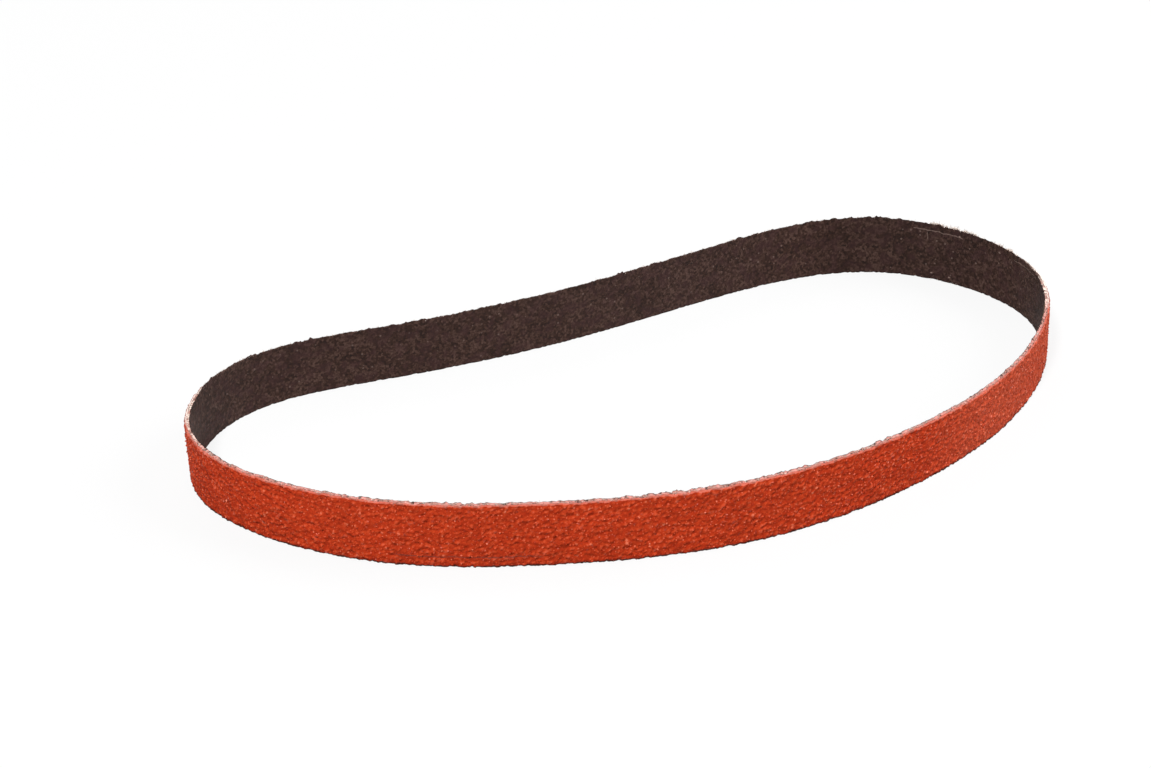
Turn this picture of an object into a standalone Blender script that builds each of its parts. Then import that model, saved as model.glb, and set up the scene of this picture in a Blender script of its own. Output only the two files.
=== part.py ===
# Narrow file belt: a loop of resin-filled cloth with abrasive grain bonded to its outside,
# closed by a butt joint that a thin tape holds from within. It stands on one cut edge, in
# the kidney shape that it springs into when nothing stretches it. Metres, +Z up, with the
# origin on the floor under the middle of the whole belt.

import math

import bmesh
import bpy
import numpy as np

# Driving dimensions of the belt.
BELT_LENGTH = 0.4572       # round the loop, along the middle of its thickness
BELT_WIDTH = 0.0127        # from cut edge to cut edge
CLOTH_THICKNESS = 0.0005
COAT_THICKNESS = 0.0005
BOND_LINE = 0.00005        # glue between cloth and coat, and between cloth and tape

# Driving dimensions of the joint.
TAPE_LENGTH = 0.019        # along the belt
TAPE_THICKNESS = 0.00012
TAPE_INSET = 0.0003        # from each cut edge
JOINT_ANGLE = 65           # degrees between the joint and the belt's length
JOINT_SETBACK = 0.0305     # from the end of the loop back to the middle of the joint

# Fineness of the solids.
STATIONS = 240             # cross-sections round the loop
TAPE_COLUMNS = 12
TAPE_ROWS = 6
SHARP_ANGLE = 40           # degrees; cut edges stay crisp, the faces are shaded smooth

# How the belt lies, counter-clockwise seen from above. Each point gives x and y of the
# lower edge, then how far the upper edge leans out of the loop (in, where negative).
LIE = [
    (0.0930, 0.0110, -0.0004),
    (0.0755, 0.0405, 0.0015),
    (0.0355, 0.0450, 0.0002),
    (-0.0040, 0.0390, -0.0004),
    (-0.0445, 0.0380, -0.0007),
    (-0.0795, 0.0335, -0.0002),
    (-0.0930, 0.0145, 0.0003),
    (-0.0765, -0.0200, -0.0007),
    (-0.0405, -0.0390, -0.0011),
    (0.0000, -0.0465, -0.0009),
    (0.0395, -0.0395, -0.0003),
    (0.0730, -0.0215, -0.0002),
]

# Faces of the layers, measured from the middle of the thickness towards the outside.
BELT_THICKNESS = CLOTH_THICKNESS + BOND_LINE + COAT_THICKNESS
CLOTH_INNER = -BELT_THICKNESS / 2
CLOTH_OUTER = CLOTH_INNER + CLOTH_THICKNESS
COAT_INNER = CLOTH_OUTER + BOND_LINE
COAT_OUTER = COAT_INNER + COAT_THICKNESS
TAPE_OUTER = CLOTH_INNER - BOND_LINE


class Loop:
    """A closed smooth curve through the points of LIE, as long as the belt."""

    FINE = 40              # samples between two points, to measure the length with

    def __init__(self):
        self.points = np.array(LIE)
        closed = np.vstack([self.points, self.points[:1]])
        self.spans = np.hypot(*np.diff(closed[:, :2], axis=0).T)
        self.bends = self.solve_bends()
        self.knots = np.concatenate([[0.0], np.cumsum(self.spans)])
        self.params = np.linspace(0.0, self.knots[-1], self.FINE * len(LIE) + 1)
        fine = self.at_params(self.params)[:, :2]
        steps = np.hypot(*np.diff(fine, axis=0).T)
        self.scale = BELT_LENGTH / steps.sum()
        self.lengths = np.concatenate([[0.0], np.cumsum(steps)]) * self.scale

    def solve_bends(self):
        """Second derivatives at the points of the cubic that closes on itself."""
        count = len(self.points)
        matrix = np.zeros((count, count))
        right = np.zeros((count, 3))
        for i in range(count):
            before = self.spans[i - 1]
            after = self.spans[i]
            following = self.points[(i + 1) % count]
            matrix[i, i - 1] += before
            matrix[i, i] += 2 * (before + after)
            matrix[i, (i + 1) % count] += after
            right[i] = 6 * (following - self.points[i]) / after
            right[i] -= 6 * (self.points[i] - self.points[i - 1]) / before
        return np.linalg.solve(matrix, right)

    def at_params(self, params):
        """x, y and lean where the spans add up to each of params."""
        count = len(self.points)
        index = np.clip(np.searchsorted(self.knots, params, side="right") - 1, 0, count - 1)
        following = (index + 1) % count
        span = self.spans[index][:, None]
        ahead = (params - self.knots[index])[:, None]
        left = span - ahead
        curve = (self.bends[index] * left**3 + self.bends[following] * ahead**3) / (6 * span)
        curve += (self.points[index] / span - self.bends[index] * span / 6) * left
        curve += (self.points[following] / span - self.bends[following] * span / 6) * ahead
        return curve

    def at_lengths(self, lengths):
        """Plan point, outward direction and lean at each distance along the belt."""
        nudge = BELT_LENGTH / STATIONS / 10
        spots = []
        for shift in (-nudge, 0.0, nudge):
            wrapped = np.mod(lengths + shift, BELT_LENGTH)
            spots.append(self.at_params(np.interp(wrapped, self.lengths, self.params)))
        along = spots[2][:, :2] - spots[0][:, :2]
        along /= np.hypot(*along.T)[:, None]
        outward = np.column_stack([along[:, 1], -along[:, 0]])
        return spots[1][:, :2] * self.scale, outward, spots[1][:, 2]


def surface_points(loop, lengths, heights, offset):
    """Points of one face of a layer, offset outward from the middle of the belt."""
    plan, outward, lean = loop.at_lengths(lengths)
    reach = offset + lean * heights / BELT_WIDTH
    plan = plan + outward * reach[:, None]
    return np.column_stack([plan, heights])


def principled(name, colour, roughness):
    material = bpy.data.materials.new(name)
    material.use_nodes = True
    shader = material.node_tree.nodes["Principled BSDF"]
    shader.inputs["Base Color"].default_value = (*colour, 1.0)
    shader.inputs["Roughness"].default_value = roughness
    shader.inputs["Metallic"].default_value = 0.0
    material.diffuse_color = (*colour, 1.0)
    return material


def add_piece(name, form, material):
    """An object made of the bmesh, with a crisp edge wherever its surface turns a corner."""
    mesh = bpy.data.meshes.new(name)
    form.to_mesh(mesh)
    form.free()
    mesh.materials.append(material)
    mesh.shade_smooth()
    mesh.set_sharp_from_angle(angle=math.radians(SHARP_ANGLE))
    piece = bpy.data.objects.new(name, mesh)
    bpy.context.collection.objects.link(piece)
    return piece


def add_row(form, points):
    return [form.verts.new(point) for point in points]


def add_ring(name, loop, inner, outer, material):
    """A layer that runs all round the loop, between two distances from its middle."""
    lengths = np.arange(STATIONS) * BELT_LENGTH / STATIONS
    floor = np.zeros(STATIONS)
    top = np.full(STATIONS, BELT_WIDTH)
    form = bmesh.new()
    low_inner = add_row(form, surface_points(loop, lengths, floor, inner))
    low_outer = add_row(form, surface_points(loop, lengths, floor, outer))
    high_outer = add_row(form, surface_points(loop, lengths, top, outer))
    high_inner = add_row(form, surface_points(loop, lengths, top, inner))
    for i in range(STATIONS):
        j = (i + 1) % STATIONS
        form.faces.new((low_outer[i], low_outer[j], high_outer[j], high_outer[i]))
        form.faces.new((low_inner[i], high_inner[i], high_inner[j], low_inner[j]))
        form.faces.new((high_outer[i], high_outer[j], high_inner[j], high_inner[i]))
        form.faces.new((low_inner[i], low_inner[j], low_outer[j], low_outer[i]))
    # Both walls split from low to high, so the facets of two layers that face each other
    # run parallel where the belt twists.
    bmesh.ops.triangulate(form, faces=form.faces, quad_method="FIXED")
    return add_piece(name, form, material)


def add_tape(name, loop, material):
    """The patch of tape inside the loop, whose ends run parallel to the joint."""
    middle = BELT_LENGTH - JOINT_SETBACK
    heights = np.linspace(TAPE_INSET, BELT_WIDTH - TAPE_INSET, TAPE_ROWS + 1)
    across = np.linspace(-TAPE_LENGTH / 2, TAPE_LENGTH / 2, TAPE_COLUMNS + 1)
    form = bmesh.new()
    rows = []
    for height in heights:
        slant = (height - BELT_WIDTH / 2) / math.tan(math.radians(JOINT_ANGLE))
        level = np.full(len(across), height)
        rows.append(add_row(form, surface_points(loop, middle + slant + across, level, TAPE_OUTER)))
    for lower, upper in zip(rows, rows[1:]):
        for i in range(TAPE_COLUMNS):
            form.faces.new((lower[i], upper[i], upper[i + 1], lower[i + 1]))
    form.normal_update()
    bmesh.ops.solidify(form, geom=list(form.faces), thickness=-TAPE_THICKNESS)
    bmesh.ops.triangulate(form, faces=form.faces)
    bmesh.ops.recalc_face_normals(form, faces=form.faces)
    return add_piece(name, form, material)


def centre_on_origin(pieces):
    """Moves the pieces together, so that the middle of their box stands over the origin."""
    corners = np.array([vertex.co for piece in pieces for vertex in piece.data.vertices])
    middle = (corners.min(axis=0) + corners.max(axis=0)) / 2
    for piece in pieces:
        piece.location = (-middle[0], -middle[1], 0.0)


def main():
    for old in list(bpy.data.objects):
        bpy.data.objects.remove(old)
    cloth = principled("resin_filled_cloth", (0.053, 0.029, 0.024), 0.75)
    grain = principled("orange_grain", (0.45, 0.051, 0.018), 0.9)
    film = principled("joint_film", (0.30, 0.16, 0.075), 0.4)
    loop = Loop()
    pieces = [
        add_ring("cloth_backing", loop, CLOTH_INNER, CLOTH_OUTER, cloth),
        add_ring("abrasive_coat", loop, COAT_INNER, COAT_OUTER, grain),
        add_tape("splice_tape", loop, film),
    ]
    centre_on_origin(pieces)


main()
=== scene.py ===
import math

import bmesh
import bpy
import numpy as np
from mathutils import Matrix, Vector


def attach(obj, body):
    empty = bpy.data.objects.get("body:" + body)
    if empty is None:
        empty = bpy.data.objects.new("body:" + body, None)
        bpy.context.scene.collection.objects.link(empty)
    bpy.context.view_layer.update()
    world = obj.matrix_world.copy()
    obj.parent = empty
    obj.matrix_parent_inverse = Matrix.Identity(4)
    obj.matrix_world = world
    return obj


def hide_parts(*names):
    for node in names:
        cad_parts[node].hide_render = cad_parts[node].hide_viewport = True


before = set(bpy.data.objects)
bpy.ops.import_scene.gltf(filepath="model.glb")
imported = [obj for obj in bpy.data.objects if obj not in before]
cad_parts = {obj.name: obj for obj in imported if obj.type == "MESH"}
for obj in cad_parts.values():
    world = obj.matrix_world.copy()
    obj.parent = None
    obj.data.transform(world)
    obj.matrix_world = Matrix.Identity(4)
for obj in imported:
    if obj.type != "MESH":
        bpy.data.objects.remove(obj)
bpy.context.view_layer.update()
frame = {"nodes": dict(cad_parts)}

# A narrow sanding belt that stands on its edge: grain outside, brown cloth inside.
# Lengths are in metres, like the frame. Materials work in millimetres along the strip.

mm = 0.001
fullTurn = 2 * math.pi
weldGap = 0.01 * mm  # corners closer than this are one corner


# The belt's own strip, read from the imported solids

def weldedPoints(obj):
    form = bmesh.new()
    form.from_mesh(obj.data)
    bmesh.ops.remove_doubles(form, verts=form.verts, dist=weldGap)
    points = np.array([v.co for v in form.verts])
    form.free()
    return points


def rim(obj, high, outside):
    # one rim of a layer, at its top or its floor, counter-clockwise
    points = weldedPoints(obj)
    level = points[:, 2].max() if high else points[:, 2].min()
    points = points[np.abs(points[:, 2] - level) < weldGap]
    apart = np.linalg.norm(points[:, None] - points[None], axis=2)
    np.fill_diagonal(apart, np.inf)
    partner = apart.argmin(axis=1)  # the corner across the layer's thickness
    reach = np.hypot(points[:, 0], points[:, 1])
    points = points[(reach > reach[partner]) == outside]
    return points[np.argsort(np.arctan2(points[:, 1], points[:, 0]))]


def rolledLike(ring, model, farthest=4):
    # the same ring, started at the station that the model starts at
    gaps = {}
    for shift in range(-farthest, farthest + 1):
        gaps[shift] = np.linalg.norm(np.roll(ring, shift, axis=0) - model, axis=1).sum()
    return np.roll(ring, min(gaps, key=gaps.get), axis=0)


def roundLoop(ring, places):
    # a smooth curve through a ring's stations, at any places along it
    first = np.floor(places).astype(int)
    f = (places - first)[..., None]
    before, here, after, beyond = (ring[(first + k) % len(ring)] for k in (-1, 0, 1, 2))
    bend = 2 * before - 5 * here + 4 * after - beyond
    twist = 3 * (here - after) + beyond - before
    return 0.5 * (2 * here + (after - before) * f + bend * f**2 + twist * f**3)


class Belt:
    def __init__(self, nodes):
        coat, cloth = nodes["abrasive_coat"], nodes["cloth_backing"]
        outerLow = rim(coat, False, True)
        outerHigh = rolledLike(rim(coat, True, True), outerLow)
        innerLow = rolledLike(rim(cloth, False, False), outerLow)
        innerHigh = rolledLike(rim(cloth, True, False), outerLow)
        bondLow = rolledLike(rim(coat, False, False), outerLow)
        across = outerLow - innerLow
        thickness = np.linalg.norm(across, axis=1)
        self.low = (outerLow + innerLow) / 2
        self.high = (outerHigh + innerHigh) / 2
        self.outward = across / thickness[:, None]
        self.count = len(self.low)
        self.width = float(self.high[0, 2] - self.low[0, 2])
        self.length = float(np.linalg.norm(self.low - np.roll(self.low, 1, axis=0), axis=1).sum())
        self.outer = float(thickness.mean() / 2)  # the coat's face, from the middle of the thickness
        self.inner = -self.outer  # the cloth's face
        self.bond = self.outer - float(np.linalg.norm(outerLow - bondLow, axis=1).mean())
        self.findJoint(weldedPoints(nodes["splice_tape"]))

    def findJoint(self, tape, samples=40):
        # the joint runs through the middle of the tape, and slants as its ends do
        fine = np.linspace(0, self.length, samples * self.count)
        line = self.at(fine, 0.0, 0.0)[:, :2]
        along = np.array([fine[np.linalg.norm(line - p[:2], axis=1).argmin()] for p in tape])
        slope, start = np.polyfit(tape[:, 2], along, 1)
        self.slant = float(slope)
        self.joint = float(start + slope * self.width / 2)
        leaned = along - self.slant * (tape[:, 2] - self.width / 2)
        self.tapeLength = float(leaned.max() - leaned.min())
        self.tapeLow, self.tapeHigh = float(tape[:, 2].min()), float(tape[:, 2].max())

    def at(self, along, up, out):
        along, up, out = np.broadcast_arrays(along, up, out)
        places = along / self.length * self.count
        low, high, side = (roundLoop(ring, places) for ring in (self.low, self.high, self.outward))
        side /= np.linalg.norm(side, axis=-1, keepdims=True)
        return low + (high - low) * (up / self.width)[..., None] + side * out[..., None]

    def onStrip(self, strip, up, out):
        # strip is the distance from the joint, along the belt as it was cut
        return self.at(self.joint + strip, up, out)

    def leaned(self, strip, up):
        # distance along the belt from the slanted joint, shorter way round
        ahead = strip - self.slant * (up - self.width / 2)
        return (ahead + self.length / 2) % self.length - self.length / 2


belt = Belt(frame["nodes"])
print("belt", round(belt.length / mm, 1), "x", round(belt.width / mm, 1), "mm")


# Relief that is worked out over the strip

noiseSide = 257  # random values along each side of a table
noiseStart = 64  # where the strip's corner lies in it


def easeIn(x, start, end):
    t = np.clip((x - start) / (end - start), 0, 1)
    return t * t * (3 - 2 * t)


def softNoise(x, y, cell, seed):
    # smooth random heights from -1 to 1, one new value every cell
    table = np.random.default_rng(seed).uniform(-1, 1, (noiseSide, noiseSide))
    gx, gy = x / cell + noiseStart, y / cell + noiseStart
    ix, iy = np.floor(gx).astype(int), np.floor(gy).astype(int)
    fx, fy = easeIn(gx - ix, 0, 1), easeIn(gy - iy, 0, 1)
    corner = [table[(ix + a) % noiseSide, (iy + b) % noiseSide] for a in (0, 1) for b in (0, 1)]
    near = corner[0] * (1 - fy) + corner[1] * fy
    far = corner[2] * (1 - fy) + corner[3] * fy
    return near * (1 - fx) + far * fx


# How the blade left the two edges, for both layers

slitLook = {
    "proud": 0.15 * mm,      # the highest yarns, above the solid's edge
    "topDrop": 0.12 * mm,    # the cut is lower at the grain than at the cloth's face
    "floorLift": 0.03 * mm,  # and at the floor it is higher there
    "leanCurve": 1.4,        # above 1 the coat takes more of that drop than the cloth
    "topWander": 0.20 * mm, "floorWander": 0.09 * mm, "wanderCell": 1.3 * mm,
    "nick": 0.18 * mm, "nickCell": 0.6 * mm,
    "chip": 0.12 * mm, "chipCell": 0.42 * mm,        # grain torn out of the coat's corners
    "torn": (24 * mm, 36 * mm, 232 * mm, 243 * mm),  # where the cut is roughest, eased at its ends
    "tornDrop": 0.48 * mm, "tornRise": 0.28 * mm,    # its lean, and how far its yarns stand up
    "floorSeed": 71, "topSeed": 81,
}


def cutDepth(strip, out, lean, wander, seed):
    look = slitLook
    share = np.clip((out - belt.inner) / (belt.outer - belt.inner), 0, 1)
    wave = 0.5 + 0.5 * softNoise(strip, 0 * out, look["wanderCell"], seed)
    nick = np.clip(softNoise(strip, out, look["nickCell"], seed + 1), 0, 1)
    chip = np.clip(softNoise(strip, out, look["chipCell"], seed + 2), 0, 1) * share
    slope = lean * share**look["leanCurve"]
    return slope + wander * wave + look["nick"] * nick + look["chip"] * chip


def tornShare(strip):
    a, b, c, d = slitLook["torn"]
    return easeIn(strip, a, b) * (1 - easeIn(strip, c, d))


def slitUp(strip, up, out):
    # rows spread evenly between the two ragged cuts
    look = slitLook
    low = cutDepth(strip, out, look["floorLift"], look["floorWander"], look["floorSeed"])
    torn = tornShare(strip % belt.length)
    drop = look["topDrop"] + (look["tornDrop"] - look["topDrop"]) * torn
    high = belt.width + look["proud"] + look["tornRise"] * torn
    high -= cutDepth(strip, out, drop, look["topWander"], look["topSeed"])
    return low + up / belt.width * (high - low)


class Grains:
    # crushed grains on a jittered grid over the strip, each a mound of a few flat facets
    def __init__(self, look):
        self.pitch, self.margin = look["pitch"], look["margin"]
        draw = np.random.default_rng(look["seed"])
        spans = (belt.length, belt.width)
        size = tuple(int((span + 2 * m) / self.pitch) + 4 for span, m in zip(spans, self.margin))
        shape = size + (look["facets"],)
        self.at = draw.uniform(*look["jitter"], size + (2,))
        self.rise = draw.uniform(*look["rise"], size)
        self.tone = draw.uniform(0, 1, size)
        self.reach = draw.uniform(*look["reach"], shape)
        self.slope = draw.uniform(*look["slope"], shape)
        turn = draw.uniform(0, fullTurn, size)[..., None]
        spread = np.arange(look["facets"]) * fullTurn / look["facets"]
        angle = turn + spread + draw.uniform(-look["turned"], look["turned"], shape)
        self.way = np.stack([np.cos(angle), np.sin(angle)], axis=-1)
        self.size = size

    def shape(self, strip, up):
        # height above the resin, and the tone of the grain that stands highest there
        x = (strip + self.margin[0]) / self.pitch
        y = (up + self.margin[1]) / self.pitch
        ix, iy = np.floor(x).astype(int), np.floor(y).astype(int)
        best, tone = np.zeros(x.shape), np.full(x.shape, 0.5)
        for dx in (-1, 0, 1):
            for dy in (-1, 0, 1):
                cx = np.clip(ix + dx, 0, self.size[0] - 1)
                cy = np.clip(iy + dy, 0, self.size[1] - 1)
                away = np.stack([x - cx, y - cy], axis=-1) - self.at[cx, cy]
                past = (self.way[cx, cy] * away[..., None, :]).sum(-1) * self.pitch - self.reach[cx, cy]
                fall = (past * self.slope[cx, cy]).max(axis=-1)
                rise = self.rise[cx, cy] - np.maximum(fall, 0)
                tone = np.where(rise > best, self.tone[cx, cy], tone)
                best = np.maximum(best, rise)
        return best, tone


# Meshes

layerGrid = {"columns": 1740, "rows": 48, "edgeRows": 3}  # cells round, up and through a layer


def newPiece(name, points, faces, material, slot, strip, grain, flat=False):
    # each face's corners carry strip (along, up and out in millimetres) and grain (height,
    # tone and a spare)
    mesh = bpy.data.meshes.new(name)
    mesh.from_pydata(points, [], faces)
    mesh.polygons.foreach_set("use_smooth", [not flat] * len(faces))
    for label, values in (("strip", strip), ("grain", grain)):
        given = mesh.attributes.new(label, "FLOAT_VECTOR", "CORNER")
        given.data.foreach_set("vector", np.asarray(values, np.float32).ravel())
    mesh.materials.append(material)
    mesh.update()
    piece = bpy.data.objects.new(name, mesh)
    bpy.context.scene.collection.objects.link(piece)
    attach(piece, "root")
    print(name, "has", sum(len(face) - 2 for face in faces), "triangles")
    return piece


def gridCells(columns, rows):
    return (a.ravel() for a in np.meshgrid(np.arange(columns), np.arange(rows), indexing="ij"))


def layerMesh(name, profile, place, material, slot):
    # A closed layer round the loop. profile lists (up, out) round its section, from the inner
    # floor corner outward. place turns strip, up and out into the finished up, out and grain.
    # Columns slant like the joint, so that the first and the last meet along it.
    up, out = np.array(profile).T
    columns, rows = layerGrid["columns"], len(profile)
    base = np.arange(columns + 1) * belt.length / columns
    strip = base[:, None] + belt.slant * (up - belt.width / 2)[None, :]
    ups, outs = np.broadcast_to(up, strip.shape), np.broadcast_to(out, strip.shape)
    newUp, newOut, height, tone = place(strip, ups, outs)
    points = belt.onStrip(strip[:-1], newUp[:-1], newOut[:-1]).reshape(-1, 3)
    i, k = gridCells(columns, rows)
    j, m = (i + 1) % columns, (k + 1) % rows
    faces = np.stack([i * rows + k, j * rows + k, j * rows + m, i * rows + m], axis=1)
    corner = np.stack([strip, ups, outs, height, tone, 0 * strip], axis=-1)
    corner[..., :4] /= mm
    corners = np.stack([corner[i, k], corner[i + 1, k], corner[i + 1, m], corner[i, m]], axis=1)
    return newPiece(name, points, faces.tolist(), material, slot, corners[..., :3], corners[..., 3:])


def wall(low, high, out):
    return [(up, out) for up in np.linspace(low, high, layerGrid["rows"] + 1)[1:]]


def cut(up, start, end):
    return [(up, out) for out in np.linspace(start, end, layerGrid["edgeRows"] + 1)[1:]]


# Shader maths

class Sock:
    # a value on a node's output, used like a number
    def __init__(self, recipe, link):
        self.recipe, self.link = recipe, link

    def maths(self, how, other=0.0, turned=False):
        first, second = (other, self) if turned else (self, other)
        return self.recipe.node("Math", {"operation": how}, {0: first, 1: second})

    def __add__(self, other):
        return self.maths("ADD", other)

    __radd__ = __add__

    def __sub__(self, other):
        return self.maths("SUBTRACT", other)

    def __rsub__(self, other):
        return self.maths("SUBTRACT", other, True)

    def __mul__(self, other):
        return self.maths("MULTIPLY", other)

    __rmul__ = __mul__

    def __abs__(self):
        return self.maths("ABSOLUTE")

    def root(self):
        return self.maths("SQRT")

    def sine(self):
        return self.maths("SINE")

    def clamped(self):
        return self.maths("MAXIMUM", 0.0).maths("MINIMUM", 1.0)


class Recipe:
    # one material, with short ways to add nodes to it
    nodeStart, nodeStep, nodesDown = (-260, 300), (190, 170), 8  # their places in the editor
    mixShare, mixFirst, mixSecond, mixOut = 0, 6, 7, 2  # a Mix node's sockets for colours

    def __init__(self, name, specular):
        self.material = bpy.data.materials.new(name)
        self.material.use_nodes = True
        self.tree = self.material.node_tree
        self.shader = self.tree.nodes["Principled BSDF"]
        self.shader.inputs["Specular IOR Level"].default_value = specular
        self.made = 0

    def node(self, kind, settings=None, sockets=None, out=0):
        made = self.tree.nodes.new("ShaderNode" + kind)
        column, row = divmod(self.made, self.nodesDown)
        made.location = (self.nodeStart[0] - self.nodeStep[0] * column,
                         self.nodeStart[1] - self.nodeStep[1] * row)
        self.made += 1
        for key, value in (settings or {}).items():
            if key == "stops":
                self.setStops(made.color_ramp, value)
            else:
                setattr(made, key, value)
        for key, value in (sockets or {}).items():
            self.feed(made.inputs[key], value)
        return Sock(self, made.outputs[out])

    def setStops(self, ramp, stops):
        while len(ramp.elements) < len(stops):
            ramp.elements.new(1.0)
        for element, (position, colour) in zip(ramp.elements, stops):
            element.position = position
            element.color = (*colour, 1.0)

    def feed(self, socket, value):
        if isinstance(value, Sock):
            self.tree.links.new(value.link, socket)
        elif isinstance(value, tuple) and len(value) == 3 and socket.type == "RGBA":
            socket.default_value = (*value, 1.0)
        else:
            socket.default_value = value

    def into(self, socket, value):
        self.feed(self.shader.inputs[socket], value)

    def carried(self, label):
        # a vector that the mesh carries, whole and in its three parts
        whole = self.node("Attribute", {"attribute_name": label}, out="Vector")
        parts = self.node("SeparateXYZ", sockets={0: whole}).link.node.outputs
        return whole, Sock(self, parts[0]), Sock(self, parts[1]), Sock(self, parts[2])

    def stretched(self, place, scale):
        return self.node("VectorMath", {"operation": "MULTIPLY"}, {0: place, 1: scale})

    def noise(self, place, scale, detail=2.0, rough=0.5):
        sockets = {"Vector": place, "Scale": scale, "Detail": detail, "Roughness": rough}
        return self.node("TexNoise", sockets=sockets)

    def cells(self, place, scale, out="Distance", spread=1.0):
        # cells over the strip, the same all through its thickness
        sockets = {"Vector": place, "Scale": scale, "Randomness": spread}
        return self.node("TexVoronoi", {"voronoi_dimensions": "2D"}, sockets, out)

    def choice(self, place, scale, spread=1.0):
        # one random number for each cell
        return self.node("SeparateColor", sockets={0: self.cells(place, scale, "Color", spread)})

    def between(self, value, low, high, first=0.0, last=1.0):
        sockets = {"Value": value, "From Min": low, "From Max": high, "To Min": first, "To Max": last}
        return self.node("MapRange", {"interpolation_type": "SMOOTHSTEP"}, sockets)

    def toned(self, noise, low, high):
        # the middle of a noise's range, spread from low to high
        return self.between(noise, 0.3, 0.7, low, high)

    def run(self, along, look):
        # 1 along a stretch of the belt, fading out at both its ends
        into = self.between(along, look["start"], look["start"] + look["fade"])
        return into * (1 - self.between(along, look["end"] - look["fade"], look["end"]))

    def runs(self, along, looks):
        return sum(self.run(along, look) for look in looks)

    def ramp(self, value, positions, colours):
        return self.node("ValToRGB", {"stops": list(zip(positions, colours))}, {0: value})

    def blend(self, share, first, second, how="MIX"):
        made = self.node("Mix", {"data_type": "RGBA", "blend_type": how}, out=self.mixOut)
        for place, value in ((self.mixShare, share), (self.mixFirst, first), (self.mixSecond, second)):
            self.feed(made.link.node.inputs[place], value)
        return made

    def shaded(self, colour, tone):
        # the colour, made darker or lighter by a tone around 1
        grey = self.node("CombineColor", sockets={0: tone, 1: tone, 2: tone})
        return self.blend(1.0, colour, grey, "MULTIPLY")

    def bump(self, height, strength, distance):
        return self.node("Bump", sockets={"Height": height, "Strength": strength, "Distance": distance})


# The abrasive coat

coatLook = {
    # shape
    "sunk": 0.13 * mm,       # resin between the grains, below the solid's face
    "swell": 0.012 * mm, "swellCell": 2.3 * mm, "ripple": 0.02 * mm, "rippleCell": 0.45 * mm,
    "lump": 0.13 * mm, "lumpCell": 0.80 * mm,  # grains that stand together
    "lumpMargin": 0.6 * mm, "edgeLump": 0.4,   # near the cut edges they are this share as high
    "jointGroove": 0.20 * mm, "grooveSides": (0.05 * mm, 0.28 * mm),
    # finish; each noise is its scale per millimetre, its detail and its roughness
    "specular": 0.07,
    "glaze": 0.55, "glazeRoughness": 0.45,     # the resin's shine on the raised grain
    "glazeRise": (0.12, 0.26), "roughRise": (0.08, 0.22), "roughness": (0.85, 0.60),
    "bumpStretch": (0.95, 1.15, 1.0), "bumpNoise": (1.15, 0.0), "bumpTall": 10.0,
    "gritNoise": (5.5, 1.0, 0.6), "gritTall": 0.5, "bumpDistance": 0.06 * mm,
    # the face, from its pits to its tops: the coat's own tone, with painted shade in the pits and painted
    # highlight on the tops
    "pit": (0.22, 0.0085, 0.0014), "resin": (0.395, 0.0375, 0.0085), "raised": (0.500, 0.0590, 0.0150),
    "toneStops": (0.05, 0.42, 0.9), "fineNoise": (3.4, 3.0, 0.65),
    "riseShare": 0.58, "fineShare": 0.5, "toneShift": -0.02,
    "darkGrain": (0.22, 0.009, 0.0015), "darkTones": (0.13, 0.22), "darkShare": 0.65,
    "paleGrain": (0.72, 0.19, 0.10), "paleTones": (0.82, 0.94), "paleRise": (0.06, 0.14),
    "paleShare": 0.45,
    "driftNoise": (0.16, 2.0), "drift": (0.95, 1.05),
    # painted sheen: the coat made paler on both sides of the joint, where the loop curves away
    "paintedSheen": [{"start": 405.0, "end": 490.0, "fade": 25.0}, {"start": -40.0, "end": 26.0, "fade": 16.0}],
    "paintedSheenShare": 0.14,
    "score": {"start": 299.0, "end": 329.0, "fade": 3.0, "up": 2.05, "width": 0.20, "core": 0.3,
              "wobble": 0.25, "strength": 0.85},
    "scored": (0.15, 0.028, 0.018),
    # the upper cut
    "raggedNoise": (2.1, 2.0), "patchNoise": (0.9, 2.0),
    "cutPink": (0.41, 0.092, 0.064), "cutCream": (0.44, 0.165, 0.13), "creamPatch": (0.42, 0.62),
    "cutRed": (0.50, 0.11, 0.07), "cutDark": (0.24, 0.055, 0.035), "darkPatch": (0.52, 0.60),
    "cutBelow": (0.17, 0.05), "lipFrom": (0.22, 0.40), "lipShare": 0.85,
    "bare": (0.76, 0.64, 0.58), "bareShare": 0.9,  # the cut where the grain has come away
    "bareRuns": [{"start": 9.0, "end": 36.0, "fade": 6.0}, {"start": 230.0, "end": 250.0, "fade": 6.0}],
    "darkRun": {"start": 19.0, "end": 236.0, "fade": 7.0},  # where the upper rim is darker
    "edgeBrown": (0.105, 0.066, 0.054), "darkRimBelow": (0.26, 0.10), "rimShare": 0.85, "cutShare": 0.95,
    "outline": {"start": 17.0, "end": 48.0, "fade": 5.0},   # a pale line outside the darker rim
    "outlineFrom": (0.16, 0.30),
    # the lower cut, with painted shade towards the floor and a painted contact shadow along it
    "contactShadow": (0.040, 0.015, 0.010), "floorUp": (0.20, 0.48), "floorShare": 0.92,
    "shadeUp": (0.40, 0.80), "shadeShare": 0.42, "brokenPatch": (0.46, 0.60),
    "brokenUp": 0.10, "brokenShare": 0.25,
}
grainLook = {
    "seed": 11, "pitch": 0.80 * mm, "facets": 5, "margin": (10 * mm, 5 * mm),
    "rise": (0.04 * mm, 0.22 * mm), "reach": (0.04 * mm, 0.24 * mm), "slope": (0.5, 1.5),
    "jitter": (0.15, 0.85), "turned": 0.4,
}
grains = Grains(grainLook)


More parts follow.
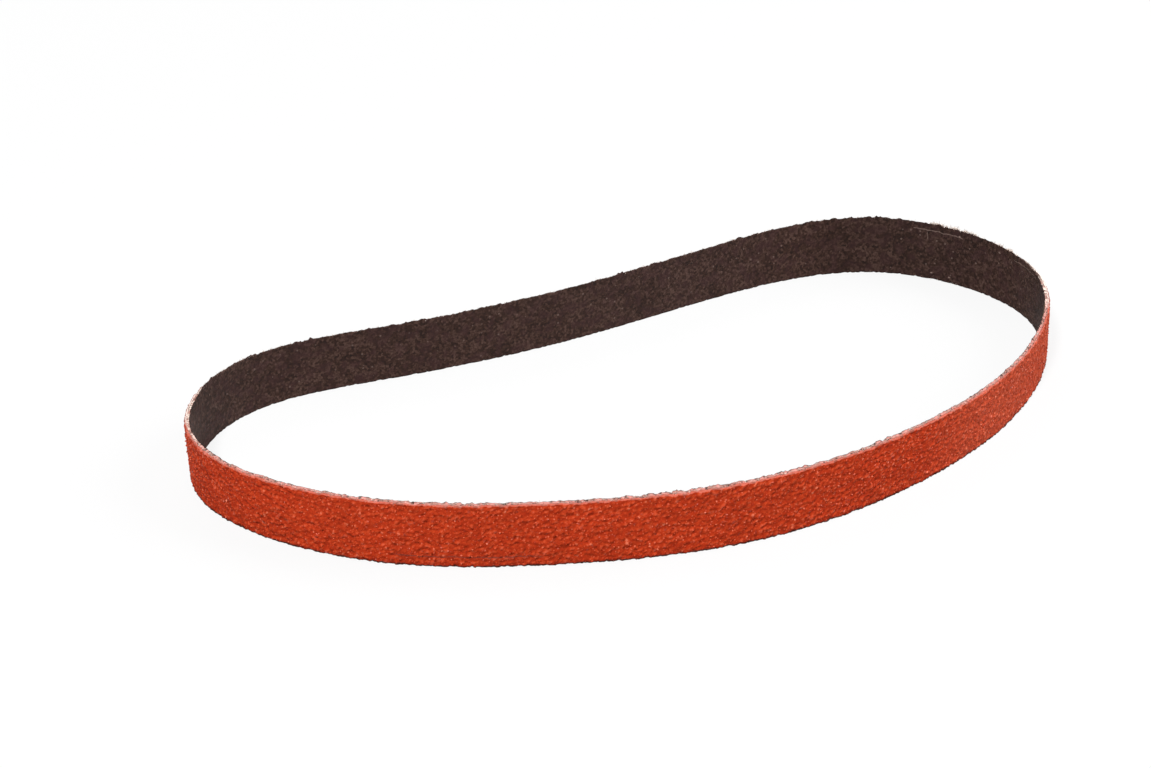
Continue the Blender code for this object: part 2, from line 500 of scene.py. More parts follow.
def coatHeight(strip, up):
    # the coat's face, out from the middle of the thickness, then the grain's own height and tone
    look = coatLook
    swell = softNoise(strip, up, look["swellCell"], 3) * look["swell"]
    swell += softNoise(strip, up, look["rippleCell"], 4) * look["ripple"]
    inside = easeIn(np.minimum(up, belt.width - up), 0, look["lumpMargin"])
    lump = softNoise(strip, up, look["lumpCell"], 6) * look["lump"]
    swell += lump * (look["edgeLump"] + (1 - look["edgeLump"]) * inside)
    groove = 1 - easeIn(np.abs(belt.leaned(strip, up)), *look["grooveSides"])
    rise, tone = grains.shape(strip, up)
    height = belt.outer - look["sunk"] + swell + rise
    return height - groove * look["jointGroove"], rise, tone


def placeCoat(strip, up, out):
    newUp = slitUp(strip, up, out)
    height, rise, tone = coatHeight(strip, newUp)
    share = np.clip((out - belt.bond) / (belt.outer - belt.bond), 0, 1)
    return newUp, belt.bond + share * (height - belt.bond), rise, tone


def coatFaceColour(mat, place, along, up, rise, tone, fine):
    look = coatLook
    tallest = grainLook["rise"][1] / mm
    # darker in the pits and paler on the raised grain: partly the coat's own tone, partly painted shade
    # and painted highlight
    level = rise * (look["riseShare"] / tallest) + fine * look["fineShare"] + look["toneShift"]
    tones = [look["pit"], look["resin"], look["raised"]]
    colour = mat.ramp(level.clamped(), look["toneStops"], tones)
    dark = 1 - mat.between(tone, *look["darkTones"])
    colour = mat.blend(dark * look["darkShare"], colour, look["darkGrain"])
    pale = mat.between(tone, *look["paleTones"]) * mat.between(rise, *look["paleRise"])
    colour = mat.blend(pale * look["paleShare"], colour, look["paleGrain"])
    drift = mat.noise(place, *look["driftNoise"])
    colour = mat.shaded(colour, mat.toned(drift, *look["drift"]))
    # painted sheen, paler on both sides of the joint
    paintedSheen = mat.runs(along, look["paintedSheen"]).clamped()
    colour = mat.blend(paintedSheen * look["paintedSheenShare"], colour, look["paleGrain"])
    # a faint score that runs along the belt, just above its lower edge
    score = look["score"]
    offLine = abs(up - score["up"] - (fine - 0.5) * score["wobble"])
    scored = 1 - mat.between(offLine, score["core"] * score["width"], score["width"])
    return mat.blend(scored * mat.run(along, score) * score["strength"], colour, look["scored"])


def upperCutColour(mat, colour, along, up, out, ragged, patch):
    # cut grain and size coat, bare or darker in places
    look = coatLook
    top = belt.width / mm
    far, near = look["cutBelow"]
    onCut = mat.between(up + ragged * 0.5, top - far, top - near)
    cutTone = mat.blend(mat.between(patch, *look["creamPatch"]), look["cutPink"], look["cutCream"])
    bare = mat.runs(along, look["bareRuns"])
    cutTone = mat.blend(bare * look["bareShare"], cutTone, look["bare"])
    # the outer lip: the red of the grain, in patches darker with painted shade among its rough grain
    lip = mat.blend(mat.between(patch, *look["darkPatch"]), look["cutRed"], look["cutDark"])
    outermost = mat.between(out + ragged * 0.5, *look["lipFrom"])
    cutTone = mat.blend(outermost * look["lipShare"], cutTone, mat.blend(bare, lip, look["cutDark"]))
    darkStretch = mat.run(along, look["darkRun"])
    far, near = look["darkRimBelow"]
    darkRim = mat.between(up + ragged * 0.3, top - far, top - near)
    colour = mat.blend(darkStretch * darkRim * look["rimShare"], colour, look["edgeBrown"])
    cutTone = mat.blend(darkStretch * look["cutShare"], cutTone, look["edgeBrown"])
    outline = mat.run(along, look["outline"]) * mat.between(out + ragged * 0.3, *look["outlineFrom"])
    cutTone = mat.blend(outline, cutTone, look["bare"])
    return mat.blend(onCut, colour, cutTone)


def lowerCutColour(mat, colour, up, ragged, patch):
    # painted shade: the coat turns darker towards the floor, down to a broken line of painted contact
    # shadow
    look = coatLook
    broken = mat.between(patch, *look["brokenPatch"])
    raised = up + broken * look["brokenUp"]
    shaded = 1 - mat.between(raised - ragged * 0.3, *look["shadeUp"])
    colour = mat.blend(shaded * look["shadeShare"], colour, look["pit"])
    contactShadowMask = 1 - mat.between(raised - ragged * 0.2, *look["floorUp"])
    share = look["floorShare"] - broken * look["brokenShare"]
    return mat.blend(contactShadowMask * share, colour, look["contactShadow"])


def coatMaterial():
    look = coatLook
    mat = Recipe("orange_grain_resin", look["specular"])
    mat.into("Coat Roughness", look["glazeRoughness"])
    place, along, up, out = mat.carried("strip")
    rise, tone = mat.carried("grain")[1:3]
    fine = mat.noise(place, *look["fineNoise"])
    ragged = mat.noise(place, *look["raggedNoise"]) - 0.5
    patch = mat.noise(place, *look["patchNoise"])
    colour = coatFaceColour(mat, place, along, up, rise, tone, fine)
    colour = upperCutColour(mat, colour, along, up, out, ragged, patch)
    mat.into("Base Color", lowerCutColour(mat, colour, up, ragged, patch))
    worn = rise + fine * 0.1
    mat.into("Roughness", mat.between(worn, *look["roughRise"], *look["roughness"]))
    mat.into("Coat Weight", mat.between(worn, *look["glazeRise"], 0.0, look["glaze"]))
    lumps = mat.noise(mat.stretched(place, look["bumpStretch"]), *look["bumpNoise"]) * look["bumpTall"]
    grit = mat.noise(place, *look["gritNoise"]) * look["gritTall"]
    mat.into("Normal", mat.bump(lumps + grit, 1.0, look["bumpDistance"]))
    return mat.material


def makeCoat(material):
    profile = [(0.0, belt.bond)] + cut(0.0, belt.bond, belt.outer)
    profile += wall(0.0, belt.width, belt.outer)
    profile += cut(belt.width, belt.outer, belt.bond)
    piece = layerMesh("grain_coat", profile, placeCoat, material, "abrasive_grain")
    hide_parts("abrasive_coat")


coatFinish = coatMaterial()
makeCoat(coatFinish)


# Sharp crystals that stand out of the resin

crystalLook = {
    "seed": 5, "pitch": 0.74 * mm, "size": (0.14 * mm, 0.31 * mm), "sink": 0.30,
    "corner": (0.7, 1.15), "jitter": 0.17,  # how far each corner lies out, and how far it strays
    "floorMargin": 0.40 * mm, "topMargin": 0.50 * mm, "jointMargin": 0.3 * mm,
    "lowest": 0.05 * mm, "highest": 0.2 * mm,  # corners stay this far inside the two cuts
    "rise": (0.10, 0.22),  # tones them as grain of this height
}


def makeCrystals(material):
    look = crystalLook
    draw = np.random.default_rng(look["seed"])
    span = belt.width - look["floorMargin"] - look["topMargin"]
    across, around = int(span / look["pitch"]), int(belt.length / look["pitch"])
    a, b = gridCells(around, across)
    up = look["floorMargin"] + (b + draw.uniform(0.05, 0.95, a.size)) * span / across
    strip = (a + draw.uniform(0.05, 0.95, a.size)) * belt.length / around
    strip += belt.slant * (up - belt.width / 2)
    kept = np.abs(belt.leaned(strip, up)) > look["jointMargin"]
    strip, up = strip[kept], up[kept]
    count = len(strip)
    size = draw.uniform(*look["size"], count)
    axes = np.array([(1, 0, 0), (-1, 0, 0), (0, 1, 0), (0, -1, 0), (0, 0, 1), (0, 0, -1)], float)
    stone = axes * draw.uniform(*look["corner"], (count, 6, 1))
    stone += draw.normal(0, look["jitter"], (count, 6, 3))
    turn = np.linalg.qr(draw.normal(size=(count, 3, 3)))[0]
    turn *= np.sign(np.linalg.det(turn))[:, None, None]
    stone = np.einsum("nij,nkj->nki", turn, stone) * size[:, None, None]
    rest = coatHeight(strip, up)[0] - look["sink"] * size
    ups = np.clip(up[:, None] + stone[..., 1], look["lowest"], belt.width - look["highest"])
    points = belt.onStrip(strip[:, None] + stone[..., 0], ups, rest[:, None] + stone[..., 2])
    sides = [(0, 2, 4), (2, 1, 4), (1, 3, 4), (3, 0, 4), (2, 0, 5), (1, 2, 5), (3, 1, 5), (0, 3, 5)]
    faces = (np.arange(count)[:, None, None] * 6 + np.array(sides)).reshape(-1, 3).tolist()
    spot = np.stack([strip, up, np.full(count, belt.outer)], axis=-1) / mm
    grain = np.stack([draw.uniform(*look["rise"], count), draw.uniform(0, 1, count), 0 * up], axis=-1)
    corners = (np.repeat(values, 3 * len(sides), axis=0) for values in (spot, grain))
    points = points.reshape(-1, 3)
    newPiece("grain_crystals", points, faces, material, "abrasive_grain", *corners, flat=True)


makeCrystals(coatFinish)


# The cloth backing

clothLook = {
    # shape
    "coatGap": 0.004 * mm,   # just short of the coat, with no gap to see
    "weaveCells": 3,         # mesh cells to one repeat of the weave
    "weave": 0.016 * mm, "wave": 0.022 * mm, "waveCell": 1.1 * mm,
    "fineWave": 0.7, "fineWaveCell": 0.4 * mm,
    "pressed": 0.35, "pressMargin": 0.2 * mm,  # what the joint press leaves of it, round the tape
    # yarn ends that stand up along the inner lip, and where the cut is roughest
    "knob": 0.08 * mm, "tornKnob": 0.30 * mm, "knobCell": 0.42 * mm, "lipHeight": 0.5 * mm,
    "bigKnob": 1.4, "bigKnobCell": 0.85 * mm, "knobOut": 0.03 * mm,
    "knobShare": 0.85, "knobGrowth": 0.9, "growthRun": (195 * mm, 222 * mm),  # taller from there on
    "knobPatch": 0.7, "knobPatchCell": 6 * mm, "knobPatchRange": (0.55, 1.4),
    # the face; each noise is its scale per millimetre, its detail and its roughness
    "specular": 0.14, "roughness": (0.55, 0.78),
    "brown": (0.0325, 0.0143, 0.0097), "darkBrown": (0.013, 0.0052, 0.0038),
    "paleBrown": (0.081, 0.044, 0.035), "toneStops": (0.24, 0.5, 0.78), "toneShift": -0.32,
    "fineNoise": (2.4, 3.0, 0.7), "pickCells": (1.9, 0.7), "pickShare": 0.34,
    "broadStretch": (0.4, 1.0, 1.0), "broadNoise": (0.30, 2.0), "broadShare": 0.30,
    "purple": (0.039, 0.0155, 0.0155), "purpleNoise": (0.45, 2.0), "purplePatch": (0.45, 0.65, 0.0, 0.5),
    # painted shade: the cloth is made darker along this stretch of the back run
    "paintedShadeRun": {"start": 34.0, "end": 92.0, "fade": 18.0}, "paintedShadeShare": 0.20,  # a shade darker here
    "pick": 0.394, "pickUp": 0.397,  # the weave's repeat in millimetres, along and up
    "bumpWeave": 0.5, "bumpFine": 1.6, "bumpStrength": 0.6, "bumpDistance": 0.05 * mm,
    # dust and wear
    "dust": (0.17, 0.115, 0.098), "dustShare": 0.8, "speckCells": 0.50, "speckChosen": (0.70, 1.0),
    "speckSize": 0.10, "speckSoft": (-0.05, 0.03), "speckShare": 0.6, "dustMargin": 2.2,
    "scratches": [  # along and up at both ends, and half the width
        ((61.4, 11.3, 50.0, 11.2), 0.17), ((58.4, 11.3, 58.0, 9.2), 0.12),
        ((35.1, 11.4, 25.3, 11.8), 0.15)],
    "scratchShare": 0.75, "scratchWobble": 0.3,
    "marks": [(50.6, 11.4), (39.8, 11.2), (56.3, 1.4), (52.0, 1.3)],
    "markLength": 0.2, "markSides": (0.10, 0.24), "markShare": 1.2,
    # the cut edges
    "darkRun": {"start": 20.0, "end": 235.0, "fade": 6.0},
    "creamRun": {"start": 4.0, "end": 262.0, "fade": 16.0},
    "fibre": (0.78, 0.66, 0.58), "rosy": (0.53, 0.225, 0.195), "edgeBrown": (0.34, 0.165, 0.135),
    "dark": (0.075, 0.046, 0.038), "stainedPatch": (0.40, 0.60), "yarnPatch": (0.34, 0.40),
    "raggedNoise": (2.4, 2.0), "patchNoise": (0.8, 2.0), "edgeReach": 0.06, "coreReach": 0.10,
    "skin": 0.17,            # brown resin between the face and the yarn, in the dark stretch
    "thinSkin": 0.03,        # and elsewhere
}


def clothRelief(strip, up):
    look = clothLook
    cellsUp = up / belt.width * layerGrid["rows"]
    cellsAlong = (strip - belt.slant * (up - belt.width / 2)) / belt.length * layerGrid["columns"]
    turns = fullTurn / look["weaveCells"]
    wave = softNoise(strip, up, look["waveCell"], 41)
    wave += look["fineWave"] * softNoise(strip, up, look["fineWaveCell"], 42)
    weave = np.sin(cellsUp * turns) * np.sin(cellsAlong * turns)
    relief = look["weave"] * weave + look["wave"] * wave
    taped = np.abs(belt.leaned(strip, up)) < belt.tapeLength / 2 + look["pressMargin"]
    return np.where(taped, look["pressed"] * relief, relief)


def yarnKnobs(strip, up):
    # how far the yarn ends stand up along the cut, around 1
    look = clothLook
    knob = np.clip(softNoise(strip, 0 * up, look["knobCell"], 43) + 0.1, 0, 1)
    knob += np.clip(look["bigKnob"] * softNoise(strip, 0 * up, look["bigKnobCell"], 45), 0, 1)
    growth = look["knobGrowth"] * easeIn(strip % belt.length, *look["growthRun"])
    patch = look["knobPatch"] * softNoise(strip, 0 * up, look["knobPatchCell"], 44)
    return knob * (look["knobShare"] + growth) * np.clip(0.85 + patch, *look["knobPatchRange"])


def placeCloth(strip, up, out):
    look = clothLook
    face = 1 - np.clip((out - belt.inner) / (belt.bond - belt.inner), 0, 1)
    lip = easeIn(up, belt.width - look["lipHeight"], belt.width) * face**2
    knob = yarnKnobs(strip, up) * lip
    tall = look["knob"] + (look["tornKnob"] - look["knob"]) * tornShare(strip)
    newUp = slitUp(strip, up, out) + tall * knob
    newOut = out - (clothRelief(strip, up) + look["knobOut"] * knob) * face
    return newUp, newOut, 0 * up, 0 * up + 0.5


def scratchGap(along, up, ends):
    # how far each place is from a straight scratch, in millimetres
    startAlong, startUp, endAlong, endUp = ends
    reachAlong, reachUp = endAlong - startAlong, endUp - startUp
    square = reachAlong**2 + reachUp**2
    ahead = (along - startAlong) * reachAlong + (up - startUp) * reachUp
    share = (ahead * (1 / square)).clamped()
    gapAlong = along - startAlong - share * reachAlong
    gapUp = up - startUp - share * reachUp
    return (gapAlong * gapAlong + gapUp * gapUp).root()


def clothFaceColour(mat, place, along, up, fine):
    look = clothLook
    broad = mat.noise(mat.stretched(place, look["broadStretch"]), *look["broadNoise"])
    picks = mat.choice(place, *look["pickCells"])
    shade = fine + picks * look["pickShare"] + broad * look["broadShare"] + look["toneShift"]
    tones = [look["darkBrown"], look["brown"], look["paleBrown"]]
    colour = mat.ramp(shade.clamped(), look["toneStops"], tones)
    purple = mat.between(mat.noise(place, *look["purpleNoise"]), *look["purplePatch"])
    colour = mat.blend(purple, colour, look["purple"])
    # painted shade along one stretch of the back run
    colour = mat.shaded(colour, 1 - mat.run(along, look["paintedShadeRun"]) * look["paintedShadeShare"])
    # dust caught in the weave, more of it near the cut edges
    middle = belt.width / mm / 2
    toEdge = 1 - mat.between(abs(up - middle), middle - look["dustMargin"], middle)
    choice = mat.choice(place, look["speckCells"])
    size = mat.between(choice, *look["speckChosen"], 0.0, look["speckSize"]) * (0.4 + toEdge * 0.8)
    speck = 1 - mat.between(mat.cells(place, look["speckCells"]) - size, *look["speckSoft"])
    speck = speck * look["speckShare"]
    for ends, half in look["scratches"]:
        gap = scratchGap(along, up, ends) - (fine - 0.5) * look["scratchWobble"]
        speck = speck + (1 - mat.between(gap, 0.3 * half, half)) * look["scratchShare"]
    for markAlong, markUp in look["marks"]:
        gap = scratchGap(along, up, (markAlong, markUp, markAlong + look["markLength"], markUp))
        speck = speck + (1 - mat.between(gap, *look["markSides"])) * look["markShare"]
    return mat.blend((speck * look["dustShare"]).clamped(), colour, look["dust"])


def clothCutColour(mat, colour, place, along, up, out):
    # the cut edges show pale yarn ends under a thin brown skin
    look = clothLook
    ragged = mat.noise(place, *look["raggedNoise"]) - 0.5
    patch = mat.noise(place, *look["patchNoise"])
    top = belt.width / mm
    edge = 1 - mat.between(up - ragged * 0.3, 0.0, look["edgeReach"])
    edge = edge + mat.between(up + ragged * 0.3, top - look["edgeReach"], top)
    darkStretch = mat.run(along, look["darkRun"])
    skin = look["thinSkin"] + darkStretch * (look["skin"] - look["thinSkin"])
    depth = out - belt.inner / mm + ragged * 0.3
    core = mat.between(depth - skin, 0.0, look["coreReach"])
    yarn = mat.blend(1 - mat.run(along, look["creamRun"]), look["fibre"], look["rosy"])
    yarn = mat.blend(mat.between(patch, *look["stainedPatch"]), yarn, look["edgeBrown"])
    yarn = mat.blend(darkStretch * mat.between(patch, *look["yarnPatch"]), yarn, look["dark"])
    return mat.blend(edge.clamped() * core, colour, yarn)


def clothMaterial():
    look = clothLook
    mat = Recipe("brown_backing_cloth", look["specular"])
    place, along, up, out = mat.carried("strip")
    fine = mat.noise(place, *look["fineNoise"])
    colour = clothFaceColour(mat, place, along, up, fine)
    mat.into("Base Color", clothCutColour(mat, colour, place, along, up, out))
    mat.into("Roughness", mat.toned(fine, *look["roughness"]))
    weave = (up * (fullTurn / look["pickUp"])).sine() * (along * (fullTurn / look["pick"])).sine()
    height = weave * look["bumpWeave"] + fine * look["bumpFine"]
    mat.into("Normal", mat.bump(height, look["bumpStrength"], look["bumpDistance"]))
    return mat.material


def makeCloth(material):
    close = belt.bond - clothLook["coatGap"]
    profile = [(0.0, belt.inner)] + cut(0.0, belt.inner, close)
    profile += [(belt.width, close)] + cut(belt.width, close, belt.inner)
    profile += wall(belt.width, 0.0, belt.inner)[:-1]
    piece = layerMesh("backing_weave", profile, placeCloth, material, "backing_cloth")
    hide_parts("cloth_backing")


makeCloth(clothMaterial())


# Ends of cut yarn that stand out of both edges

fibreLook = {
    "seed": 23, "tufts": 560, "perTuft": 8, "spread": 0.07 * mm, "strays": 900, "floorShare": 0.22,
    "tuftMargin": (0.16 * mm, 0.10 * mm), "strayMargin": (0.05 * mm, 0.25 * mm),  # inner, outer
    "fringes": [(34 * mm, 43 * mm, 30), (46 * mm, 58 * mm, 104)],  # from, to and tufts there
    "length": (0.14 * mm, 0.46 * mm), "radius": (0.016 * mm, 0.034 * mm), "rings": (0.0, 0.45, 0.8),
    "fringeGrowth": 1.5,     # how much longer and thicker the fringes are
    "stray": 0.55, "bend": 0.35, "taper": 0.4,
    "rooted": (0.02 * mm, -0.03 * mm),  # inside the lower and the upper cut
    "floorGap": 0.004 * mm,
    "cream": (0.80, 0.70, 0.63), "tan": (0.33, 0.20, 0.15), "tanTones": (0.62, 0.80),
    "specular": 0.2, "fineNoise": (5.0, 2.0), "shade": (0.75, 1.1), "roughness": (0.6, 0.85),
}


def fibreMaterial():
    look = fibreLook
    mat = Recipe("cut_yarn_ends", look["specular"])
    place = mat.carried("strip")[0]
    tone = mat.carried("grain")[2]
    fine = mat.noise(place, *look["fineNoise"])
    colour = mat.blend(mat.between(tone, *look["tanTones"]), look["cream"], look["tan"])
    mat.into("Base Color", mat.shaded(colour, mat.toned(fine, *look["shade"])))
    mat.into("Roughness", mat.toned(fine, *look["roughness"]))
    return mat.material


def fibreRoots(draw):
    # where each fibre stands on the strip and in the thickness, those of the fringes first
    look = fibreLook
    places = draw.uniform(0, belt.length, look["tufts"])
    fringe = [draw.uniform(start, end, number) for start, end, number in look["fringes"]]
    inFringe = sum(map(len, fringe))
    places[:inFringe] = np.concatenate(fringe)
    inner, outer = look["tuftMargin"]
    outs = draw.uniform(belt.inner + inner, belt.bond + outer, look["tufts"])
    roots = np.repeat(np.column_stack([places, outs]), look["perTuft"], axis=0)
    roots += draw.normal(0, look["spread"], roots.shape)
    inner, outer = look["strayMargin"]
    strays = np.column_stack([draw.uniform(0, belt.length, look["strays"]),
                              draw.uniform(belt.inner + inner, belt.bond + outer, look["strays"])])
    return np.vstack([roots, strays]).T, inFringe * look["perTuft"]


def fibreFaces(rings):
    # a three-sided spike: its foot, its walls ring by ring, and its tip
    faces = [(2, 1, 0)]
    for ring in range(rings - 1):
        for k in range(3):
            a, b = 3 * ring + k, 3 * ring + (k + 1) % 3
            faces += [(a, b, b + 3), (a, b + 3, a + 3)]
    last = 3 * (rings - 1)
    return faces + [(last + k, last + (k + 1) % 3, last + 3) for k in range(3)]


def makeFibres(material):
    look = fibreLook
    draw = np.random.default_rng(look["seed"])
    (strip, out), fringed = fibreRoots(draw)
    count = len(strip)
    floor = np.repeat(draw.uniform(0, 1, look["tufts"]) < look["floorShare"], look["perTuft"])
    floor = np.concatenate([floor, draw.uniform(0, 1, look["strays"]) < look["floorShare"]])
    up = slitUp(strip, np.where(floor, 0.0, belt.width), out)
    up += np.where(floor, *look["rooted"])
    way = draw.normal(0, look["stray"], (count, 3))
    way[:, 1] += np.where(floor, 0.25, 1.0)
    way[:, 2] += np.where(floor, draw.choice([-1.0, 1.0], count), 0.0)  # down there they lie flat
    way /= np.linalg.norm(way, axis=1, keepdims=True)
    bend = draw.normal(0, look["bend"], (count, 3))
    length, radius = draw.uniform(*look["length"], count), draw.uniform(*look["radius"], count)
    length[:fringed] *= look["fringeGrowth"]
    radius[:fringed] *= look["fringeGrowth"]
    side = np.cross(way, draw.normal(size=(count, 3)))
    side /= np.linalg.norm(side, axis=1, keepdims=True)
    other = np.cross(way, side)
    root = np.column_stack([strip, up, out])
    points = []
    for t in look["rings"]:
        middle = root + length[:, None] * (way * t + bend * t * t)
        thick = radius[:, None] * (1 - look["taper"] * t)
        for turn in np.arange(3) * fullTurn / 3:
            points.append(middle + (side * math.cos(turn) + other * math.sin(turn)) * thick)
    points.append(root + length[:, None] * (way + bend))
    points = np.stack(points, axis=1)
    points[..., 1] = np.maximum(points[..., 1], look["floorGap"])
    shape = fibreFaces(len(look["rings"]))
    faces = (np.arange(count)[:, None, None] * points.shape[1] + np.array(shape)).reshape(-1, 3).tolist()
    points = belt.onStrip(points[..., 0], points[..., 1], points[..., 2]).reshape(-1, 3)
    grain = np.column_stack([0 * up, draw.uniform(0, 1, count), 0 * up])
    corners = (np.repeat(values, 3 * len(shape), axis=0) for values in (root / mm, grain))
    newPiece("cut_yarn_fibres", points, faces, material, "backing_cloth", *corners)


makeFibres(fibreMaterial())


# The tape that holds the joint from within

tapeLook = {
    "columns": 110, "rows": 72, "away": 0.045 * mm, "thick": 0.12 * mm, "rounding": 0.14 * mm,
    "thinEdge": 0.25,        # the share of its thickness that is left at its edges
    "press": 0.022 * mm, "pressHalf": 0.22 * mm,  # how far the joint shows through, and how wide
    "uneven": 0.004 * mm, "unevenCell": 0.7 * mm,
    "endWave": 0.06 * mm, "endWaveCell": 0.9 * mm, "endReach": 0.6 * mm,
    "film": (0.225, 0.120, 0.058), "deep": (0.13, 0.062, 0.030), "cloudyPatch": (0.35, 0.68),
    "fineNoise": (2.8, 3.0, 0.6), "cloudyNoise": (0.5, 3.0),
    "thread": (0.44, 0.34, 0.23), "threadShare": 0.55, "threadPitch": 0.9, "threadLean": 0.9,
    "threadBend": 0.5, "threadWave": (0.80, 0.98),
    "lineSides": (0.05, 0.16), "lineShare": 0.7,  # the joint, darker through the film
    "glue": (0.15, 0.085, 0.048), "glueReach": (0.10, 0.45), "glueShare": 0.5,
    "specular": 0.4, "roughness": (0.30, 0.52),
    "bumpThreads": 0.6, "bumpStrength": 0.4, "bumpDistance": 0.03 * mm,
}


def tapeMaterial():
    look = tapeLook
    mat = Recipe("amber_joint_film", look["specular"])
    place, along, up = mat.carried("strip")[:3]
    toEdge = mat.carried("grain")[1]  # the tape's mesh carries this where others carry height
    fine = mat.noise(place, *look["fineNoise"])
    cloudy = mat.noise(place, *look["cloudyNoise"])
    colour = mat.blend(mat.between(cloudy, *look["cloudyPatch"]), look["film"], look["deep"])
    # crossed threads in the film
    threads = 0.0
    for lean in (look["threadLean"], -look["threadLean"]):
        across = along + up * lean + (cloudy - 0.5) * look["threadBend"]
        wave = (across * (fullTurn / look["threadPitch"])).sine()
        threads = threads + mat.between(wave, *look["threadWave"])
    colour = mat.blend(threads.clamped() * look["threadShare"], colour, look["thread"])
    offJoint = abs(along - (up - belt.width / mm / 2) * belt.slant + (fine - 0.5) * 0.1)
    line = 1 - mat.between(offJoint, *look["lineSides"])
    colour = mat.blend(line * look["lineShare"], colour, look["deep"])
    border = 1 - mat.between(toEdge + (fine - 0.5) * 0.3, *look["glueReach"])
    mat.into("Base Color", mat.blend(border * look["glueShare"], colour, look["glue"]))
    mat.into("Roughness", mat.toned(fine, *look["roughness"]))
    height = threads * look["bumpThreads"] + fine
    mat.into("Normal", mat.bump(height, look["bumpStrength"], look["bumpDistance"]))
    return mat.material


def sideFaces(first, second, lift, flip):
    faces = np.stack([first, second, second + lift, first + lift], axis=1)
    return faces[:, ::-1] if flip else faces


def patchFaces(columns, rows):
    # the face under a patch, the face that shows, and its four sides
    i, k = gridCells(columns, rows)
    lift = (columns + 1) * (rows + 1)
    a, b = i * (rows + 1) + k, (i + 1) * (rows + 1) + k
    under = np.stack([a, b, b + 1, a + 1], axis=1)
    faces = [under, under[:, ::-1] + lift]
    row, column = np.arange(rows), np.arange(columns)
    for start, flip in ((0, False), (columns * (rows + 1), True)):
        first = start + row
        faces.append(sideFaces(first, first + 1, lift, flip))
    for start, flip in ((0, True), (rows, False)):
        first = start + column * (rows + 1)
        faces.append(sideFaces(first, first + rows + 1, lift, flip))
    return np.concatenate(faces)


def makeTape(material):
    look = tapeLook
    lean = np.linspace(-0.5, 0.5, look["columns"] + 1)[:, None] * belt.tapeLength
    up = np.linspace(belt.tapeLow, belt.tapeHigh, look["rows"] + 1)[None, :]
    lean, up = np.broadcast_arrays(lean, up)
    toSide = np.minimum(up - belt.tapeLow, belt.tapeHigh - up)
    toEnd = belt.tapeLength / 2 - np.abs(lean)
    toEdge = np.minimum(toSide, toEnd)
    endWave = softNoise(up, 0 * up, look["endWaveCell"], 91) * look["endWave"]
    lean = lean + (1 - easeIn(toEnd, 0, look["endReach"])) * endWave
    strip = lean + belt.slant * (up - belt.width / 2)
    near = np.full(up.shape, belt.inner - look["away"])
    full = look["thinEdge"] + (1 - look["thinEdge"]) * easeIn(toEdge, 0, look["rounding"])
    thick = look["thick"] * full + look["uneven"] * softNoise(strip, up, look["unevenCell"], 92)
    thick = thick - look["press"] * np.exp(-(lean / look["pressHalf"])**2)
    grids = [belt.onStrip(strip, up, out) for out in (near, near - thick)]
    points = np.concatenate([grid.reshape(-1, 3) for grid in grids])
    faces = patchFaces(look["columns"], look["rows"])
    corner = np.stack([strip, up, near, toEdge, 0 * up, 0 * up], axis=-1).reshape(-1, 6) / mm
    corners = corner[faces % strip.size]
    carried = (corners[..., :3], corners[..., 3:])
    piece = newPiece("joint_tape", points, faces.tolist(), material, "joint_film", *carried)
    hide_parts("splice_tape")


makeTape(tapeMaterial())


# Floor, light and camera

viewLook = {
    "aim": (-0.009513, 0.020231, 0.0), "turn": -22.5, "tilt": 29.87, "away": 0.4947,
    "pixels": 1151, "focalPixels": 2370, "sensor": 36.0, "nearest": 0.01,
}
lightLook = {
    "key": {"place": (-0.68, -0.66, 1.19), "size": 0.25, "power": 27.8},
    "fill": {"place": (1.15, -0.18, 0.75), "size": 1.2, "power": 20.0},
    "back": {"place": (0.10, 0.85, 0.80), "size": 0.8, "power": 4.0},
    "sky": 0.20, "floor": (0.60, 0.60, 0.60), "floorRoughness": 0.9, "floorGlow": 0.85,
    "floorReach": 3.0, "white": (1.0, 1.0, 1.0),
}


def placeCamera():
    tilt, turn = math.radians(viewLook["tilt"]), math.radians(viewLook["turn"])
    data = bpy.data.cameras.new("view")
    data.sensor_fit = "HORIZONTAL"
    data.sensor_width = viewLook["sensor"]
    data.lens = viewLook["sensor"] * viewLook["focalPixels"] / viewLook["pixels"]
    data.clip_start = viewLook["nearest"]
    camera = bpy.data.objects.new("view", data)
    flat = viewLook["away"] * math.cos(tilt)
    reach = (math.sin(turn) * flat, -math.cos(turn) * flat, viewLook["away"] * math.sin(tilt))
    camera.location = Vector(viewLook["aim"]) + Vector(reach)
    camera.rotation_euler = (math.pi / 2 - tilt, 0, turn)
    bpy.context.scene.collection.objects.link(camera)
    bpy.context.scene.camera = camera


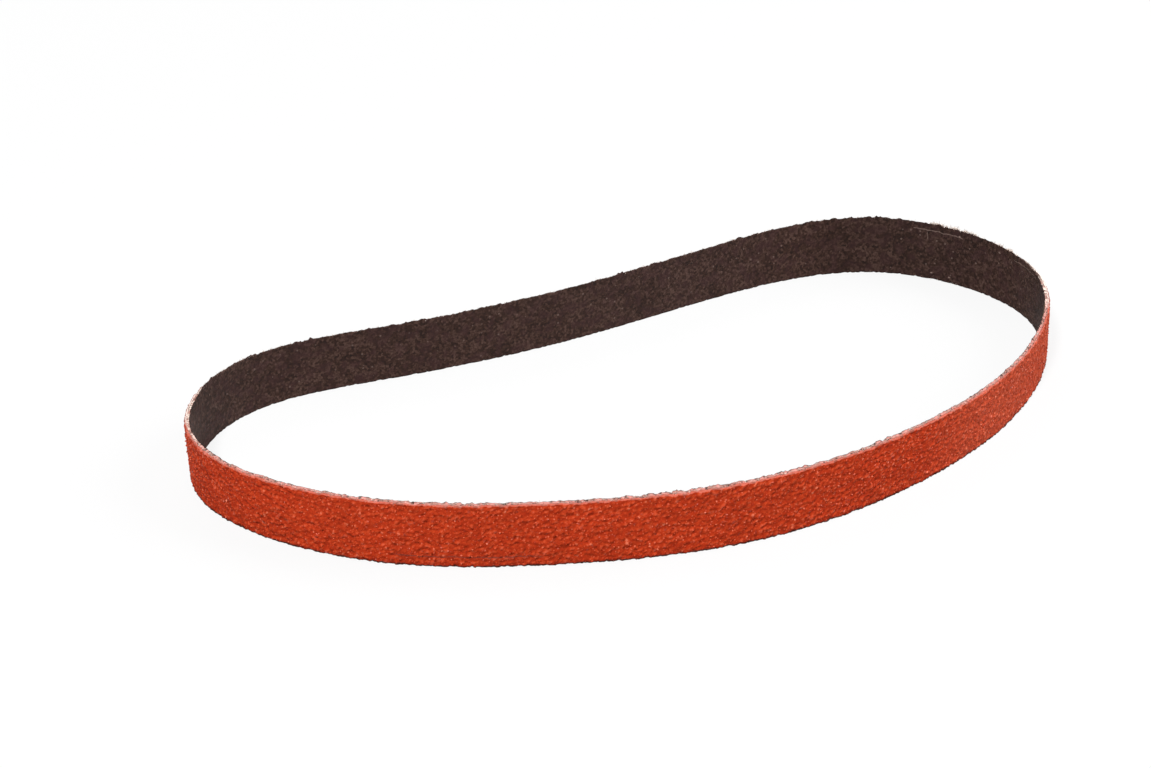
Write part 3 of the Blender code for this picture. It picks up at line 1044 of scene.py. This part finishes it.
def softLamp(name):
    data = bpy.data.lights.new(name, "AREA")
    data.shape = "DISK"
    data.size = lightLook[name]["size"]
    data.energy = lightLook[name]["power"]
    lamp = bpy.data.objects.new(name, data)
    lamp.location = lightLook[name]["place"]
    lamp.rotation_euler = (-lamp.location).to_track_quat("-Z", "Y").to_euler()
    bpy.context.scene.collection.objects.link(lamp)


def makeFloor():
    look = lightLook
    mat = Recipe("pale_floor", specular=0.0)
    mat.into("Base Color", look["floor"])
    mat.into("Roughness", look["floorRoughness"])
    seen = mat.node("LightPath", out="Is Camera Ray")
    glow = mat.node("Emission", sockets={"Color": look["white"], "Strength": 1.0})
    lit = Sock(mat, mat.shader.outputs[0])
    mixed = mat.node("MixShader", sockets={0: seen * look["floorGlow"], 1: lit, 2: glow})
    mat.tree.links.new(mixed.link, mat.tree.nodes["Material Output"].inputs["Surface"])
    reach = look["floorReach"]
    corners = [(-reach, -reach, 0), (reach, -reach, 0), (reach, reach, 0), (-reach, reach, 0)]
    mesh = bpy.data.meshes.new("floor")
    mesh.from_pydata(corners, [], [(0, 1, 2, 3)])
    mesh.materials.append(mat.material)
    floor = bpy.data.objects.new("floor", mesh)
    bpy.context.scene.collection.objects.link(floor)


def makeWorld():
    # lights the belt softly, and is plain white behind it
    world = bpy.data.worlds.new("studio")
    world.use_nodes = True
    tree = world.node_tree
    light = tree.nodes["Background"]
    light.inputs["Color"].default_value = (*lightLook["white"], 1.0)
    light.inputs["Strength"].default_value = lightLook["sky"]
    seen = tree.nodes.new("ShaderNodeBackground")
    seen.inputs["Strength"].default_value = 1.0
    path = tree.nodes.new("ShaderNodeLightPath")
    mix = tree.nodes.new("ShaderNodeMixShader")
    tree.links.new(path.outputs["Is Camera Ray"], mix.inputs[0])
    tree.links.new(light.outputs[0], mix.inputs[1])
    tree.links.new(seen.outputs[0], mix.inputs[2])
    tree.links.new(mix.outputs[0], tree.nodes["World Output"].inputs["Surface"])
    bpy.context.scene.world = world


placeCamera()
makeFloor()
makeWorld()
for lampName in ("key", "fill", "back"):
    softLamp(lampName)
bpy.context.scene.view_settings.view_transform = "Standard"
print("stage made")
